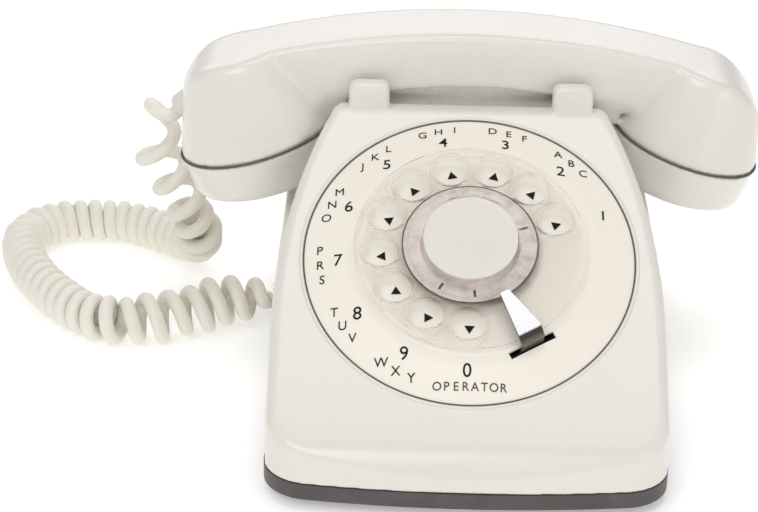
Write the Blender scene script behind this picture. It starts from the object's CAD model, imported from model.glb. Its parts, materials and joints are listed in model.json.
import json
import math

import bmesh
import bpy
import numpy as np
from mathutils import Matrix, Vector

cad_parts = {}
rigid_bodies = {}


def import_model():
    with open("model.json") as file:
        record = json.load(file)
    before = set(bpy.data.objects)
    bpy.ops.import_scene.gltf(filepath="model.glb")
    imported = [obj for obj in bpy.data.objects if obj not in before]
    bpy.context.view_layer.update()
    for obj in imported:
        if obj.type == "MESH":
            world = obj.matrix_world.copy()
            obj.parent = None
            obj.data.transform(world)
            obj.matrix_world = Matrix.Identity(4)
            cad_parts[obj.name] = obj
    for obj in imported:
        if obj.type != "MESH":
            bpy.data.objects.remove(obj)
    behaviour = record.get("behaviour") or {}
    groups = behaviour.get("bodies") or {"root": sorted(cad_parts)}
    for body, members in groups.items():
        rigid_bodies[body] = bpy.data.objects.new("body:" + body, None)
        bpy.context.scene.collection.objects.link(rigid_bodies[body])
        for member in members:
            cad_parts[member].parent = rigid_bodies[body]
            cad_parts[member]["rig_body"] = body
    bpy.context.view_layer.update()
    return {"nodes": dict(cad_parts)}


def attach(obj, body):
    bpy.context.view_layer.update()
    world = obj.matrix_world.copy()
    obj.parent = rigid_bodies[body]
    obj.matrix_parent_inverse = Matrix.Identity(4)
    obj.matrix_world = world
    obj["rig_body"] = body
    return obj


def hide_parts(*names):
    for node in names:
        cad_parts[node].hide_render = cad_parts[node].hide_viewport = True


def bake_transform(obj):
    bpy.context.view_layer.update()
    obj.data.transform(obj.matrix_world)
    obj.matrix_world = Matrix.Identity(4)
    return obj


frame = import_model()

# ---------------------------------------------------------------- sizes, in metres
DIAL_Y = -0.032             # the dial's centre on the sloping face
DIAL_Z = 0.0679
DIAL_TILT = math.radians(33)
# The number plate's upper surface: radius and height over the dial's rim.
PLATE_PROFILE = [
    (0.061, 0.0), (0.0595, 0.0005), (0.048, 0.0046), (0.044, 0.0055), (0.040, 0.0058), (0.0, 0.0058),
]
HOLE_CIRCLE = 0.033
HOLE_RADIUS = 0.0066
FIRST_HOLE = 20.6           # degrees, the hole for digit 1
HOLE_PITCH = 27.6
WHEEL_TOP = 0.0096
DIGIT_CIRCLE = 0.0494
LETTER_CIRCLE = 0.0560
INK_LIFT = 0.00012          # how far the printing stands off the plate
INK_DEPTH = 0.00004
PRINT_SHIFT = 0.0007        # the printing sits a little right of the holes
TARGET_RADIUS = 0.0022
TARGET_DEPTH = 0.00006

WIRE = 0.0058               # the cord's own diameter
# The coil's centre line, from the bush in the housing to the bush in the handset.
CORD_ROUTE = [
    (-0.0766, 0.0370, 0.0150), (-0.0890, 0.0370, 0.0150), (-0.1050, 0.0330, 0.0115),
    (-0.1210, 0.0265, 0.0096), (-0.1360, 0.0220, 0.0094), (-0.1500, 0.0260, 0.0094),
    (-0.1625, 0.0395, 0.0094), (-0.1745, 0.0560, 0.0094), (-0.1840, 0.0760, 0.0094),
    (-0.1885, 0.0980, 0.0094), (-0.1790, 0.1135, 0.0094), (-0.1610, 0.1175, 0.0094),
    (-0.1420, 0.1160, 0.0094), (-0.1250, 0.1045, 0.0096), (-0.1120, 0.0895, 0.0120),
    (-0.1085, 0.0750, 0.0240), (-0.1170, 0.0700, 0.0450), (-0.1245, 0.0670, 0.0660),
    (-0.1263, 0.0654, 0.0807), (-0.1157, 0.0602, 0.0882),
]
# Along the route: share of its length, advance of one turn, radius of the turns.
CORD_TURNS = [
    (0.00, 0.0085, 0.0010), (0.015, 0.0085, 0.0040), (0.035, 0.0088, 0.0078), (0.18, 0.0092, 0.0078),
    (0.22, 0.0064, 0.0065), (0.74, 0.0062, 0.0064), (0.79, 0.0085, 0.0068), (0.85, 0.0120, 0.0076),
    (0.92, 0.0185, 0.0082), (0.97, 0.0200, 0.0070), (1.00, 0.0150, 0.0006),
]
COIL_STEP = 0.0002          # spacing of the points that the coil is worked out from
LINE_STEP = 0.0016          # spacing of the points that the wire is drawn from
CLOSE_ADVANCE = 0.0063      # turns further apart than this are loose and uneven
FLOOR_GAP = 0.0001


# ---------------------------------------------------------------- camera
CAMERA_PLACE = (-0.0226, -0.8406, 0.4624)
CAMERA_AIM = (-0.0334, -0.0310, 0.0675)
CAMERA_ROLL = math.radians(1.1)
CAMERA_LENS = 115.6
CAMERA_SENSOR = 36.0
CAMERA_RANGE = (0.05, 20.0)


def make_camera():
    data = bpy.data.cameras.new("camera")
    data.lens = CAMERA_LENS
    data.sensor_width = CAMERA_SENSOR
    data.clip_start, data.clip_end = CAMERA_RANGE
    camera = bpy.data.objects.new("camera", data)
    bpy.context.scene.collection.objects.link(camera)
    place = Vector(CAMERA_PLACE)
    look = (Vector(CAMERA_AIM) - place).to_track_quat("-Z", "Y").to_matrix()
    camera.matrix_world = Matrix.Translation(place) @ (look @ Matrix.Rotation(CAMERA_ROLL, 3, "Z")).to_4x4()
    bpy.context.scene.camera = camera


# ---------------------------------------------------------------- material helpers
def new_material(name):
    material = bpy.data.materials.new(name)
    material.use_nodes = True
    nodes = material.node_tree.nodes
    return material, nodes, material.node_tree.links, nodes["Principled BSDF"]


def add(nodes, kind, **values):
    node = nodes.new(kind)
    for key, value in values.items():
        if hasattr(node, key):
            setattr(node, key, value)
        else:
            node.inputs[key.replace("_", " ")].default_value = value
    return node


def place_of(nodes, links, scale=(1.0, 1.0, 1.0)):
    """Object coordinates, which move with the piece."""
    where = nodes.new("ShaderNodeTexCoord")
    mapping = nodes.new("ShaderNodeMapping")
    mapping.inputs["Scale"].default_value = scale
    links.new(where.outputs["Object"], mapping.inputs["Vector"])
    return mapping.outputs["Vector"]


def noise_of(nodes, links, vector, scale, detail=3.0, roughness=0.5):
    texture = add(nodes, "ShaderNodeTexNoise", Scale=scale, Detail=detail, Roughness=roughness)
    links.new(vector, texture.inputs["Vector"])
    return texture.outputs["Fac"]


def ramp_of(nodes, links, value, stops):
    """A colour that follows a value through (position, colour) stops."""
    ramp = nodes.new("ShaderNodeValToRGB")
    elements = ramp.color_ramp.elements
    while len(elements) < len(stops):
        elements.new(0.5)
    for element, (position, colour) in zip(elements, stops):
        element.position = position
        element.color = (*colour, 1.0)
    links.new(value, ramp.inputs["Fac"])
    return ramp.outputs["Color"]


def range_of(nodes, links, value, low, high, from_low=0.3, from_high=0.7):
    node = nodes.new("ShaderNodeMapRange")
    node.inputs["From Min"].default_value = from_low
    node.inputs["From Max"].default_value = from_high
    node.inputs["To Min"].default_value = low
    node.inputs["To Max"].default_value = high
    links.new(value, node.inputs["Value"])
    return node.outputs["Result"]


def bump_of(nodes, links, height, strength, distance, before=None):
    bump = nodes.new("ShaderNodeBump")
    bump.inputs["Strength"].default_value = strength
    bump.inputs["Distance"].default_value = distance
    links.new(height, bump.inputs["Height"])
    if before is not None:
        links.new(before, bump.inputs["Normal"])
    return bump.outputs["Normal"]


def shade(colour, factor):
    return tuple(min(1.0, c * factor) for c in colour)


# ---------------------------------------------------------------- materials
def moulded(name, colour, roughness, spread, grain, coat=0.0):
    """Moulded plastic: slow colour drift, faint moulding ripple and a little dust in the gloss."""
    material, nodes, links, shader = new_material(name)
    where = place_of(nodes, links)
    drift = noise_of(nodes, links, where, 14.0, 4.0)
    warm = shade(colour, 1.0 - spread)
    tint = ramp_of(nodes, links, drift, [(0.3, (warm[0], warm[1], warm[2] * 0.985)), (0.7, colour)])
    links.new(tint, shader.inputs["Base Color"])
    smear = noise_of(nodes, links, where, 60.0, 5.0, 0.6)
    links.new(range_of(nodes, links, smear, roughness * 0.85, roughness * 1.2), shader.inputs["Roughness"])
    peel = noise_of(nodes, links, where, 900.0, 2.0)
    ripple = noise_of(nodes, links, where, 45.0, 2.0)
    wide = bump_of(nodes, links, ripple, grain * 2.0, 0.0004)
    links.new(bump_of(nodes, links, peel, grain, 0.00005, wide), shader.inputs["Normal"])
    shader.inputs["IOR"].default_value = 1.5
    shader.inputs["Coat Weight"].default_value = coat
    shader.inputs["Coat Roughness"].default_value = 0.12
    return material


def brushed(name, colour, roughness, stretch, dirt=0.25):
    """Metal with fine drawn lines and a few duller patches."""
    material, nodes, links, shader = new_material(name)
    shader.inputs["Metallic"].default_value = 1.0
    lines = noise_of(nodes, links, place_of(nodes, links, stretch), 900.0, 3.0)
    where = place_of(nodes, links)
    patches = noise_of(nodes, links, where, 90.0, 4.0)
    dull = shade(colour, 1.0 - dirt)
    links.new(ramp_of(nodes, links, patches, [(0.35, dull), (0.62, colour)]), shader.inputs["Base Color"])
    links.new(range_of(nodes, links, lines, roughness * 0.7, roughness * 1.4), shader.inputs["Roughness"])
    links.new(bump_of(nodes, links, lines, 0.12, 0.00004), shader.inputs["Normal"])
    return material


def mottled_metal(name, light, dark):
    """Half-polished metal with drifting light and dark clouds."""
    material, nodes, links, shader = new_material(name)
    cloud = noise_of(nodes, links, place_of(nodes, links, (1.0, 1.0, 1.6)), 150.0, 5.0, 0.62)
    stops = [(0.30, dark), (0.46, shade(light, 0.85)), (0.60, light), (0.75, shade(light, 1.12))]
    links.new(ramp_of(nodes, links, cloud, stops), shader.inputs["Base Color"])
    links.new(range_of(nodes, links, cloud, 0.40, 0.58), shader.inputs["Roughness"])
    shader.inputs["Metallic"].default_value = 0.40
    return material


def worn_stop(name, bright, dull):
    """Bright strip metal that is dark and worn from its bend down."""
    material, nodes, links, shader = new_material(name)
    height = nodes.new("ShaderNodeVectorMath")
    height.operation = "DOT_PRODUCT"
    height.inputs[1].default_value = (0.0, -math.sin(DIAL_TILT), math.cos(DIAL_TILT))
    links.new(place_of(nodes, links), height.inputs[0])
    base = DIAL_Z * math.cos(DIAL_TILT) - DIAL_Y * math.sin(DIAL_TILT)
    above = range_of(nodes, links, height.outputs["Value"], 0.0, 1.0, base + BEND_LOW, base + BEND_HIGH)
    bend = shade(dull, 0.3)
    stops = [(0.0, shade(dull, 1.9)), (0.55, dull), (0.80, bend), (0.97, bend), (1.0, bright)]
    links.new(ramp_of(nodes, links, above, stops), shader.inputs["Base Color"])
    lines = noise_of(nodes, links, place_of(nodes, links, (12.0, 1.0, 1.0)), 900.0, 3.0)
    links.new(range_of(nodes, links, lines, 0.20, 0.34), shader.inputs["Roughness"])
    links.new(bump_of(nodes, links, lines, 0.12, 0.00004), shader.inputs["Normal"])
    shader.inputs["Metallic"].default_value = 0.7
    return material


def rubber(name, colour, roughness):
    """Soft rubber with a fine grain and paler scuffs."""
    material, nodes, links, shader = new_material(name)
    where = place_of(nodes, links)
    scuff = noise_of(nodes, links, where, 70.0, 6.0, 0.7)
    stops = [(0.35, shade(colour, 0.8)), (0.55, colour), (0.8, shade(colour, 1.5))]
    links.new(ramp_of(nodes, links, scuff, stops), shader.inputs["Base Color"])
    links.new(range_of(nodes, links, scuff, roughness, roughness * 1.25), shader.inputs["Roughness"])
    grain = noise_of(nodes, links, where, 1400.0, 2.0)
    links.new(bump_of(nodes, links, grain, 0.25, 0.00008), shader.inputs["Normal"])
    return material


def clear_plastic(name, tint, roughness, ior):
    """Clear acrylic with hairline scratches and a slightly uneven polish."""
    material, nodes, links, shader = new_material(name)
    shader.inputs["Transmission Weight"].default_value = 1.0
    shader.inputs["IOR"].default_value = ior
    where = place_of(nodes, links)
    cloud = noise_of(nodes, links, where, 50.0, 3.0)
    stops = [(0.3, shade(tint, 0.985)), (0.7, tint)]
    links.new(ramp_of(nodes, links, cloud, stops), shader.inputs["Base Color"])
    scratch = noise_of(nodes, links, place_of(nodes, links, (1.0, 9.0, 1.0)), 160.0, 5.0, 0.7)
    polish = range_of(nodes, links, scratch, roughness, roughness * 2.5, 0.5, 0.8)
    links.new(polish, shader.inputs["Roughness"])
    links.new(bump_of(nodes, links, scratch, 0.03, 0.00003), shader.inputs["Normal"])
    return material


def wound_copper(name, colour):
    """Lacquered wire in close turns."""
    material, nodes, links, shader = new_material(name)
    wave = add(nodes, "ShaderNodeTexWave", Scale=700.0, Distortion=0.6, Detail=1.0)
    links.new(place_of(nodes, links), wave.inputs["Vector"])
    turns = wave.outputs["Fac"]
    stops = [(0.2, shade(colour, 0.35)), (0.7, colour)]
    links.new(ramp_of(nodes, links, turns, stops), shader.inputs["Base Color"])
    links.new(bump_of(nodes, links, turns, 0.5, 0.0001), shader.inputs["Normal"])
    shader.inputs["Metallic"].default_value = 0.6
    shader.inputs["Roughness"].default_value = 0.35
    return material


def card_stock(name, colour):
    """Thin card with paper fibre."""
    material, nodes, links, shader = new_material(name)
    where = place_of(nodes, links, (1.0, 2.5, 1.0))
    fibre = noise_of(nodes, links, where, 500.0, 6.0, 0.7)
    stops = [(0.35, shade(colour, 0.95)), (0.65, colour)]
    links.new(ramp_of(nodes, links, fibre, stops), shader.inputs["Base Color"])
    links.new(bump_of(nodes, links, fibre, 0.15, 0.00006), shader.inputs["Normal"])
    shader.inputs["Roughness"].default_value = 0.75
    return material


def ink(name, colour):
    """Printing ink, a little uneven."""
    material, nodes, links, shader = new_material(name)
    cover = noise_of(nodes, links, place_of(nodes, links), 1500.0, 3.0)
    stops = [(0.3, shade(colour, 1.25)), (0.6, colour)]
    links.new(ramp_of(nodes, links, cover, stops), shader.inputs["Base Color"])
    shader.inputs["Roughness"].default_value = 0.80
    shader.inputs["Specular IOR Level"].default_value = 0.15
    return material


BEND_LOW = 0.0055           # the finger stop is worn between these heights over the dial
BEND_HIGH = 0.0126
IVORY = (0.815, 0.783, 0.725)
IVORY_CORD = (0.880, 0.850, 0.765)
PLATE_CREAM = (0.955, 0.895, 0.800)

PALETTE = {
    "ivory": moulded("ivory_plastic", IVORY, 0.27, 0.018, 0.004, 0.25),
    "plate": moulded("plate_enamel", PLATE_CREAM, 0.48, 0.025, 0.008),
    "cord": moulded("cord_jacket", IVORY_CORD, 0.38, 0.05, 0.05),
    "ivory_rubber": moulded("ivory_rubber", shade(IVORY, 0.95), 0.5, 0.05, 0.06),
    "base": rubber("base_paint", (0.090, 0.078, 0.075), 0.42),
    "foot": rubber("foot_rubber", (0.110, 0.100, 0.097), 0.6),
    "phenolic": moulded("black_phenolic", (0.020, 0.018, 0.017), 0.35, 0.2, 0.03),
    "tan_board": moulded("tan_board", (0.32, 0.20, 0.10), 0.55, 0.15, 0.05),
    "nylon": moulded("nylon", (0.75, 0.74, 0.70), 0.4, 0.04, 0.03),
    "grey": moulded("grey_plastic", (0.32, 0.32, 0.31), 0.4, 0.08, 0.05),
    "steel": brushed("plated_steel", (0.62, 0.62, 0.60), 0.3, (1.0, 12.0, 1.0)),
    "spring_steel": brushed("spring_steel", (0.42, 0.42, 0.42), 0.25, (12.0, 1.0, 1.0)),
    "chrome": worn_stop("finger_stop_steel", (0.56, 0.565, 0.585), (0.150, 0.130, 0.115)),
    "zinc": brushed("cast_zinc", (0.40, 0.40, 0.40), 0.5, (1.0, 1.0, 1.0), 0.3),
    "brass": brushed("brass", (0.72, 0.50, 0.22), 0.28, (1.0, 10.0, 1.0)),
    "gong": brushed("gong_brass", (0.75, 0.55, 0.27), 0.2, (1.0, 1.0, 10.0)),
    "aluminium": brushed("aluminium", (0.74, 0.74, 0.74), 0.35, (1.0, 1.0, 12.0)),
    "copper": wound_copper("coil_winding", (0.45, 0.16, 0.07)),
    "clear": clear_plastic("clear_acrylic", (1.0, 0.998, 0.992), 0.05, 1.12),
    "lip": clear_plastic("hole_lip", (0.99, 0.975, 0.94), 0.12, 1.12),
    "cover": clear_plastic("clear_cover", (1.0, 0.995, 0.985), 0.04, 1.10),
    "cover_edge": clear_plastic("cover_edge", (0.42, 0.36, 0.34), 0.12, 1.3),
    "seam": rubber("seam_shadow", (0.110, 0.098, 0.080), 0.6),
    "clamp": mottled_metal("clamp_metal", (0.80, 0.73, 0.675), (0.46, 0.405, 0.395)),
    "card": card_stock("card_stock", (0.965, 0.935, 0.865)),
    "black_ink": ink("black_ink", (0.012, 0.011, 0.010)),
    "brown_ink": ink("brown_ink", (0.065, 0.056, 0.050)),
}

FINISH = {
    "ivory": ["housing_shell", "handset_handle", "transmitter_cap", "receiver_cap", "screw_bosses"],
    "plate": ["number_plate"],
    "cord": ["handset_cord"],
    "ivory_rubber": ["base_cord_bush", "handset_cord_bush", "line_inlet"],
    "base": ["base_plate"],
    "foot": ["foot_front_left", "foot_front_right", "foot_rear_left", "foot_rear_right"],
    "phenolic": ["network_block", "hook_contacts", "transmitter_cup"],
    "tan_board": ["pulse_springs"],
    "nylon": ["pulse_cam", "plunger_left", "plunger_right"],
    "grey": ["ringer_volume_wheel"],
    "steel": ["base_screws", "dial_bracket", "governor_bracket", "dial_bridge", "ringer_frame", "gong_screws",
              "hook_bracket", "hook_lever", "dial_shaft", "wheel_screw", "clapper"],
    "spring_steel": ["mainspring", "hook_spring"],
    "chrome": ["finger_stop"],
    "zinc": ["dial_frame"],
    "brass": ["governor_cup", "terminal_screws", "drive_gear", "cam_pinion", "worm_wheel", "governor_worm",
              "governor_weights"],
    "gong": ["gong_left", "gong_right"],
    "aluminium": ["transmitter_capsule", "receiver_capsule"],
    "copper": ["ringer_coil"],
    "clear": ["finger_wheel"],
    "cover": ["card_cover"],
    "clamp": ["card_clamp"],
    "card": ["number_card"],
}


def paint(piece, finish):
    piece.data.materials.clear()
    piece.data.materials.append(PALETTE[finish])


def paint_nodes():
    for finish, names in FINISH.items():
        for name in names:
            paint(frame["nodes"][name], finish)


# ---------------------------------------------------------------- mesh helpers
def make_piece(name, mesh, finish, body=None):
    piece = bpy.data.objects.new(name, mesh)
    bpy.context.scene.collection.objects.link(piece)
    paint(piece, finish)
    if body is not None:
        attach(piece, body)
    return piece


def shade_smooth(mesh):
    mesh.polygons.foreach_set("use_smooth", [True] * len(mesh.polygons))


def mesh_of(name, vertices, faces, smooth=True):
    mesh = bpy.data.meshes.new(name)
    mesh.from_pydata([tuple(v) for v in vertices], [], faces)
    mesh.validate()
    if smooth:
        shade_smooth(mesh)
    mesh.update()
    return mesh


def dial_point(right, up, out):
    """A point from the dial's own directions: right, up the slope, out of the face."""
    cos, sin = math.cos(DIAL_TILT), math.sin(DIAL_TILT)
    return Vector((right, DIAL_Y + up * cos - out * sin, DIAL_Z + up * sin + out * cos))


def plate_height(radius):
    """Height of the number plate's upper surface at a radius."""
    for (r1, h1), (r0, h0) in zip(PLATE_PROFILE, PLATE_PROFILE[1:]):
        if radius >= r0:
            share = (radius - r0) / (r1 - r0)
            return h0 + (h1 - h0) * share
    return PLATE_PROFILE[-1][1]


def on_circle(radius, degrees):
    return radius * math.cos(math.radians(degrees)), radius * math.sin(math.radians(degrees))


# ---------------------------------------------------------------- cord
def route_points():
    """The cord's centre line, read from a spline through the route."""
    curve = bpy.data.curves.new("cord_route", "CURVE")
    curve.dimensions = "3D"
    curve.resolution_u = 40
    spline = curve.splines.new("NURBS")
    spline.points.add(len(CORD_ROUTE) - 1)
    for point, place in zip(spline.points, CORD_ROUTE):
        point.co = (*place, 1.0)
    spline.order_u = 3
    spline.use_endpoint_u = True
    line = bpy.data.objects.new("cord_route", curve)
    mesh = bpy.data.meshes.new_from_object(line)
    points = np.array([v.co for v in mesh.vertices], float)
    bpy.data.objects.remove(line)
    bpy.data.meshes.remove(mesh)
    return points


def even_points(points, step):
    """The same line in equal steps."""
    lengths = np.r_[0.0, np.cumsum(np.linalg.norm(np.diff(points, axis=0), axis=1))]
    count = int(round(lengths[-1] / step)) + 1
    stations = np.linspace(0.0, lengths[-1], count)
    return np.stack([np.interp(stations, lengths, points[:, i]) for i in range(3)], axis=1)


def carried_frames(points):
    """Tangent and two side directions at each point, turned as little as possible along the line."""
    tangents = np.gradient(points, axis=0)
    tangents /= np.linalg.norm(tangents, axis=1)[:, None]
    side = np.cross(tangents[0], (0.0, 0.0, 1.0))
    side /= np.linalg.norm(side)
    sides = []
    for tangent in tangents:
        side = side - tangent * side.dot(tangent)
        side /= np.linalg.norm(side)
        sides.append(side)
    sides = np.array(sides)
    return tangents, sides, np.cross(tangents, sides)


def coil_line(points, floor):
    """A coil round the route, wide and uneven where it is pulled out, resting on the floor."""
    points = even_points(points, COIL_STEP)
    tangents, across, above = carried_frames(points)
    shares = np.linspace(0.0, 1.0, len(points))
    stations = [s for s, _, _ in CORD_TURNS]
    advance = np.interp(shares, stations, [p for _, p, _ in CORD_TURNS])
    radius = np.interp(shares, stations, [r for _, _, r in CORD_TURNS])
    uneven = 0.10 * np.sin(shares * 61.0) + 0.07 * np.sin(shares * 143.0 + 1.0)
    loose = np.clip((advance - CLOSE_ADVANCE) / 0.003, 0.0, 1.0)
    advance = advance * (1.0 + uneven * loose)
    radius = radius * (1.0 + 0.10 * np.sin(shares * 97.0 + 0.5) * loose + 0.02 * np.sin(shares * 180.0))
    angle = np.cumsum(2 * math.pi * COIL_STEP / advance)
    coil = points + radius[:, None] * (np.cos(angle)[:, None] * across + np.sin(angle)[:, None] * above)
    coil[:, 2] = np.maximum(coil[:, 2], floor)
    coil = even_points(coil, LINE_STEP)
    for _ in range(3):
        coil[1:-1] = (coil[:-2] + 2 * coil[1:-1] + coil[2:]) / 4
    return coil


def tube_mesh(name, points, diameter, sides=12):
    """A round tube along points, closed at both ends."""
    tangents, across, above = carried_frames(points)
    turns = np.linspace(0.0, 2 * math.pi, sides, endpoint=False)
    cos, sin = np.cos(turns)[None, :, None], np.sin(turns)[None, :, None]
    ring = cos * across[:, None, :] + sin * above[:, None, :]
    vertices = (points[:, None, :] + ring * diameter / 2).reshape(-1, 3)
    faces = []
    for i in range(len(points) - 1):
        for j in range(sides):
            k = (j + 1) % sides
            faces.append((i * sides + j, i * sides + k, (i + 1) * sides + k, (i + 1) * sides + j))
    faces.append(tuple(reversed(range(sides))))
    last = (len(points) - 1) * sides
    faces.append(tuple(range(last, last + sides)))
    return mesh_of(name, vertices, faces)


def make_cord():
    line = coil_line(route_points(), WIRE / 2 + FLOOR_GAP)
    cord = make_piece("handset_cord_coil", tube_mesh("handset_cord_coil", line, WIRE), "cord")
    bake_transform(cord)
    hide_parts("handset_cord")
    length = np.linalg.norm(np.diff(line, axis=0), axis=1).sum()
    print("cord along its turns %.3f m" % length)


# ---------------------------------------------------------------- moulded shells
HANDLE_Y = 0.046
SEAM_Z = 0.084
CAP_LEAN = 17.0
# Each cap's joint line: name, place along the handset, side, radius.
CAP_SEAMS = [("mouthpiece_seam", -0.0824, -1, 0.0324), ("earpiece_seam", 0.0850, 1, 0.0298)]
SEAM_SECTION = (0.0003, 0.0005, 0.00038, 8)  # height, half width, half height, points round it
SEAM_STEPS = 96
# The front outline of the root where the handle turns down: distance from the middle and height.
THROAT_ROOT = [(0.0475, 0.1090), (0.0475, 0.0970), (0.0515, 0.0955), (0.0570, 0.0940), (0.0610, 0.1090)]
THROAT_FRONT = 0.0345
THROAT_BACK = 0.0575
# Voxel size and smoothing passes of each moulding.
HOUSING_EASE = (0.0008, 8)
HANDLE_EASE = (0.0010, 10)
CAP_EASE = (0.0009, 3)
ROOT_PASSES = 45            # further smoothing of the handle, away from the cap seams
ROOT_FROM = 0.090           # it starts at this height
ROOT_OVER = 0.010           # and is full this much higher


def apply_modifiers(piece):
    """Works the piece's modifiers into its mesh."""
    shaped = bpy.data.meshes.new_from_object(piece.evaluated_get(bpy.context.evaluated_depsgraph_get()))
    piece.modifiers.clear()
    piece.data = shaped


def ease_mesh(piece, passes, zone=None):
    """Smooths the piece's mesh; zone gives each point's share from its place."""
    ease = piece.modifiers.new("ease", "SMOOTH")
    ease.factor = 0.5
    ease.iterations = passes
    if zone is not None:
        group = piece.vertex_groups.new(name="zone")
        for vertex in piece.data.vertices:
            share = zone(vertex.co)
            if share > 0.0:
                group.add([vertex.index], share, "REPLACE")
        ease.vertex_group = "zone"
    apply_modifiers(piece)
    piece.vertex_groups.clear()


def soften(node, voxel, passes, extra=None, zone=None, zone_passes=0):
    """Replaces a CAD shell with one whose moulded edges are eased; extra is a mesh joined to it."""
    body = frame["nodes"][node]["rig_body"]
    source = frame["nodes"][node].data.copy()
    if extra is not None:
        both = bmesh.new()
        both.from_mesh(source)
        both.from_mesh(extra)
        both.to_mesh(source)
        both.free()
    piece = make_piece(node + "_skin", source, "ivory")
    remesh = piece.modifiers.new("remesh", "REMESH")
    remesh.mode = "VOXEL"
    remesh.voxel_size = voxel
    apply_modifiers(piece)
    ease_mesh(piece, passes)
    if zone is not None:
        ease_mesh(piece, zone_passes, zone)
    shade_smooth(piece.data)
    paint(piece, "ivory")
    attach(piece, body)
    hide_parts(node)


def prism_mesh(name, outline, near, far):
    """A prism of (x, z) corners between two depths."""
    count = len(outline)
    vertices = [(x, near, z) for x, z in outline] + [(x, far, z) for x, z in outline]
    faces = [tuple(range(count)), tuple(reversed(range(count, 2 * count)))]
    faces += [((i + 1) % count, i, i + count, (i + 1) % count + count) for i in range(count)]
    return mesh_of(name, vertices, faces, False)


def throat_webs():
    """The thick roots where the handle turns down into its two ends."""
    webs = bmesh.new()
    for side in (-1, 1):
        outline = [(side * x, z) for x, z in THROAT_ROOT]
        outline = outline if side > 0 else outline[::-1]
        webs.from_mesh(prism_mesh("root", outline, THROAT_FRONT, THROAT_BACK))
    mesh = bpy.data.meshes.new("throat_webs")
    bmesh.ops.recalc_face_normals(webs, faces=webs.faces)
    webs.to_mesh(mesh)
    webs.free()
    return mesh


def above_seam(place):
    """How freely a point of the handle is smoothed: not at all near the cap seams."""
    return min(1.0, max(0.0, (place.z - ROOT_FROM) / ROOT_OVER))


def make_handset():
    soften("handset_handle", *HANDLE_EASE, throat_webs(), above_seam, ROOT_PASSES)
    soften("transmitter_cap", *CAP_EASE)
    soften("receiver_cap", *CAP_EASE)


# ---------------------------------------------------------------- printing on the number plate
def glyph_mesh(text, size, weight):
    curve = bpy.data.curves.new("glyph", "FONT")
    curve.body = text
    curve.size = size
    curve.offset = weight
    curve.align_x = "CENTER"
    curve.align_y = "CENTER"
    curve.resolution_u = 6
    curve.extrude = INK_DEPTH
    text_object = bpy.data.objects.new("glyph", curve)
    mesh = bpy.data.meshes.new_from_object(text_object)
    bpy.data.objects.remove(text_object)
    return mesh


def print_on_plate(target, text, size, radius, degrees, weight=0.0):
    """Adds one upright letter or figure to the target, laid on the plate's cone."""
    mesh = glyph_mesh(text, size, weight)
    right, up = on_circle(radius, degrees)
    for vertex in mesh.vertices:
        u = right + PRINT_SHIFT + vertex.co.x
        v = up + vertex.co.y
        height = plate_height(math.hypot(u, v)) + INK_LIFT + vertex.co.z
        vertex.co = dial_point(u, v, height)
    target.from_mesh(mesh)
    bpy.data.meshes.remove(mesh)


def finish_print(name, target, finish):
    mesh = bpy.data.meshes.new(name)
    target.to_mesh(mesh)
    target.free()
    return make_piece(name, mesh, finish, "base")


FIGURE_LAG = 0.4            # degrees between a hole and its printed figure
FIGURE_SIZE = 0.0069
FIGURE_WEIGHT = 0.00002
ONE_CIRCLE = 0.0520         # the figure 1 stands further out, and is a plain stroke
ONE_SIZE = 0.0062
ONE_WEIGHT = 0.00004
LETTER_SIZE = 0.0049
LETTER_STEP = 6.4           # degrees between two letters of a group
OPERATOR_WORD = "OPERATOR"
OPERATOR_SIZE = 0.0043
OPERATOR_STEP = 0.0034
OPERATOR_DROP = 0.0549      # how far under the dial's centre the word stands
DIGIT_LETTERS = {2: "ABC", 3: "DEF", 4: "GHI", 5: "JKL", 6: "MNO", 7: "PRS", 8: "TUV", 9: "WXY"}


def digit_angle(digit):
    return FIRST_HOLE + HOLE_PITCH * ((digit - 1) % 10)


def make_printing():
    figures = bmesh.new()
    for digit in range(10):
        angle = digit_angle(digit) - FIGURE_LAG
        if digit == 1:
            print_on_plate(figures, "I", ONE_SIZE, ONE_CIRCLE, angle, ONE_WEIGHT)
        else:
            print_on_plate(figures, str(digit), FIGURE_SIZE, DIGIT_CIRCLE, angle, FIGURE_WEIGHT)
    finish_print("dial_figures", figures, "black_ink")
    letters = bmesh.new()
    for digit, group in DIGIT_LETTERS.items():
        clockwise = digit in (2, 3, 4, 5)
        for i, letter in enumerate(group):
            turn = (1 - i) * LETTER_STEP if clockwise else (i - 1) * LETTER_STEP
            print_on_plate(letters, letter, LETTER_SIZE, LETTER_CIRCLE, digit_angle(digit) + turn)
    finish_print("dial_letters", letters, "black_ink")
    word = bmesh.new()
    for i, letter in enumerate(OPERATOR_WORD):
        across = (i - (len(OPERATOR_WORD) - 1) / 2) * OPERATOR_STEP
        angle = math.degrees(math.atan2(-OPERATOR_DROP, across))
        print_on_plate(word, letter, OPERATOR_SIZE, math.hypot(OPERATOR_DROP, across), angle)
    finish_print("dial_word", word, "brown_ink")
    make_targets()


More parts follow.
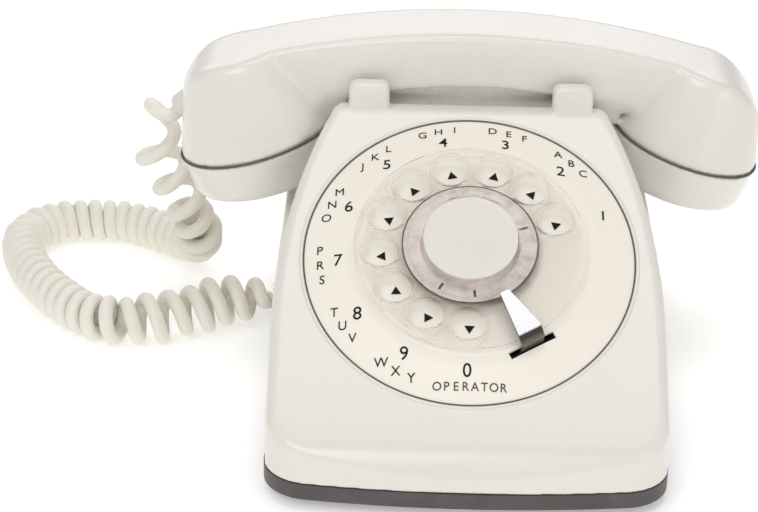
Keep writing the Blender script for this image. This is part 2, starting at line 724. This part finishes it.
def make_targets():
    """The small black triangle under each finger hole."""
    target = bmesh.new()
    for digit in range(10):
        middle = digit_angle(digit)
        right, up = on_circle(HOLE_CIRCLE, middle)
        corners = []
        for turn in (0, 120, 240):
            across, along = on_circle(TARGET_RADIUS, middle + turn)
            u, v = right + across + PRINT_SHIFT, up + along
            height = plate_height(math.hypot(u, v)) + INK_LIFT
            corners.append(target.verts.new(dial_point(u, v, height)))
        target.faces.new(corners)
    extruded = bmesh.ops.extrude_face_region(target, geom=list(target.faces))
    lift = dial_point(0, 0, TARGET_DEPTH) - dial_point(0, 0, 0)
    moved = [g for g in extruded["geom"] if isinstance(g, bmesh.types.BMVert)]
    bmesh.ops.translate(target, verts=moved, vec=lift)
    bmesh.ops.recalc_face_normals(target, faces=target.faces)
    finish_print("dial_targets", target, "black_ink")


# ---------------------------------------------------------------- dial details
LIP_OUT = 0.0005            # the hole lips stand this far outside the holes
LIP_HALF = 0.0006           # and are twice this thick
# Rings about the dial's centre: radius, height, half width, half height.
COVER_EDGE = (0.0249, 0.01035, 0.00028, 0.00022)
CLAMP_FLANGE = (0.0234, 0.0101, 0.0013, 0.0002)
OPENING_EDGE = (0.06225, -0.0004, 0.0009, 0.0009)
GAP_LINE = (0.06125, 0.0001, 0.0003, 0.0003)
WHEEL_RING_STEPS = 96
RIM_RING_STEPS = 144


def ring_faces(steps, count):
    """Faces of a closed ring of steps sections with count points each."""
    faces = []
    for i in range(steps):
        j = (i + 1) % steps
        for k in range(count):
            m = (k + 1) % count
            faces.append((i * count + k, j * count + k, j * count + m, i * count + m))
    return faces


def ring_mesh(name, profile, centre=(0.0, 0.0), steps=48):
    """A turned ring about the dial's direction from a closed (radius, height) outline."""
    vertices = []
    for i in range(steps):
        angle = 2 * math.pi * i / steps
        for radius, height in profile:
            right = centre[0] + radius * math.cos(angle)
            up = centre[1] + radius * math.sin(angle)
            vertices.append(dial_point(right, up, height))
    return mesh_of(name, vertices, ring_faces(steps, len(profile)))


def rounded_outline(radius, height, half_width, half_height, points=10):
    return [(radius + half_width * math.cos(a), height + half_height * math.sin(a))
            for a in np.linspace(0.0, 2 * math.pi, points, endpoint=False)]


def make_hole_lips():
    """The thick clear lip round each finger hole."""
    for digit in range(10):
        centre = on_circle(HOLE_CIRCLE, digit_angle(digit))
        outline = rounded_outline(HOLE_RADIUS + LIP_OUT, WHEEL_TOP, LIP_HALF, LIP_HALF)
        mesh = ring_mesh("finger_hole_lip_%d" % digit, outline, centre)
        make_piece("finger_hole_lip_%d" % digit, mesh, "lip", "dial_wheel")


def make_dial_ring(name, section, finish, body, steps):
    make_piece(name, ring_mesh(name, rounded_outline(*section), steps=steps), finish, body)


def make_dial_rings():
    """The cover's dark edge, the clamp's flat rim, the even opening edge and the gap inside it."""
    make_dial_ring("cover_edge_line", COVER_EDGE, "cover_edge", "dial_wheel", WHEEL_RING_STEPS)
    make_dial_ring("clamp_flange", CLAMP_FLANGE, "clamp", "dial_wheel", WHEEL_RING_STEPS)
    make_dial_ring("dial_opening_edge", OPENING_EDGE, "ivory", "base", RIM_RING_STEPS)
    make_dial_ring("dial_gap_line", GAP_LINE, "seam", "base", RIM_RING_STEPS)


def make_seam_lines():
    """The dark joint where each cap screws up against the handle."""
    for name, x, side, radius in CAP_SEAMS:
        lean = math.radians(side * CAP_LEAN)
        cos, sin = math.cos(lean), math.sin(lean)
        vertices = []
        outline = rounded_outline(radius, *SEAM_SECTION)
        for i in range(SEAM_STEPS):
            around = 2 * math.pi * i / SEAM_STEPS
            for r, z in outline:
                across = r * math.cos(around)
                depth = HANDLE_Y + r * math.sin(around)
                vertices.append((x + across * cos + z * sin, depth, SEAM_Z - across * sin + z * cos))
        mesh = mesh_of(name, vertices, ring_faces(SEAM_STEPS, len(outline)))
        make_piece(name, mesh, "seam", "handset")


# ---------------------------------------------------------------- studio
FLOOR_HALF = 3.0
FLOOR_Z = -0.0002
PAPER = [(0.3, (0.90, 0.90, 0.89)), (0.7, (0.93, 0.93, 0.92))]
PAPER_GLOW = 0.32
WORLD_COLOUR = (0.97, 0.98, 1.0, 1.0)
WORLD_STRENGTH = 0.47
# Area lights: name, place, what it points at, size, power, colour.
LIGHTS = [
    ("overhead", (0.0, 0.05, 1.3), (0.0, 0.0, 0.05), (0.9, 0.55), 3.7, (1.0, 0.985, 0.985)),
    ("behind", (-0.1, 1.3, 0.75), (0.0, 0.0, 0.08), (1.8, 0.7), 4.8, (1.0, 0.98, 0.99)),
    ("front_left", (-0.4, -1.05, 1.15), (0.0, 0.0, 0.07), (0.9, 0.7), 5.9, (1.0, 0.985, 0.985)),
    ("front_right", (0.9, -1.1, 0.45), (0.0, 0.0, 0.07), (0.6, 0.6), 2.0, (1.0, 0.97, 0.92)),
]


def make_stage():
    mesh = bpy.data.meshes.new("floor")
    corners = [(x * FLOOR_HALF, y * FLOOR_HALF, FLOOR_Z) for x, y in ((-1, -1), (1, -1), (1, 1), (-1, 1))]
    mesh.from_pydata(corners, [], [(0, 1, 2, 3)])
    floor = bpy.data.objects.new("floor", mesh)
    bpy.context.scene.collection.objects.link(floor)
    material, nodes, links, shader = new_material("studio_paper")
    grain = noise_of(nodes, links, place_of(nodes, links), 300.0, 3.0)
    links.new(ramp_of(nodes, links, grain, PAPER), shader.inputs["Base Color"])
    shader.inputs["Roughness"].default_value = 0.9
    shader.inputs["Emission Color"].default_value = (1.0, 1.0, 0.99, 1.0)
    shader.inputs["Emission Strength"].default_value = PAPER_GLOW
    floor.data.materials.append(material)


def add_light(name, place, aim, size, power, colour):
    data = bpy.data.lights.new(name, "AREA")
    data.shape = "RECTANGLE"
    data.size, data.size_y = size
    data.energy = power
    data.color = colour
    light = bpy.data.objects.new(name, data)
    light.location = place
    light.rotation_euler = (Vector(aim) - Vector(place)).to_track_quat("-Z", "Y").to_euler()
    bpy.context.scene.collection.objects.link(light)


def make_studio():
    make_stage()
    world = bpy.data.worlds.new("studio")
    world.use_nodes = True
    world.node_tree.nodes["Background"].inputs["Color"].default_value = WORLD_COLOUR
    world.node_tree.nodes["Background"].inputs["Strength"].default_value = WORLD_STRENGTH
    bpy.context.scene.world = world
    bpy.context.scene.view_settings.view_transform = "Standard"
    for light in LIGHTS:
        add_light(*light)


make_camera()
paint_nodes()
make_cord()
soften("housing_shell", *HOUSING_EASE)
make_handset()
make_printing()
make_hole_lips()
make_dial_rings()
make_seam_lines()
make_studio()
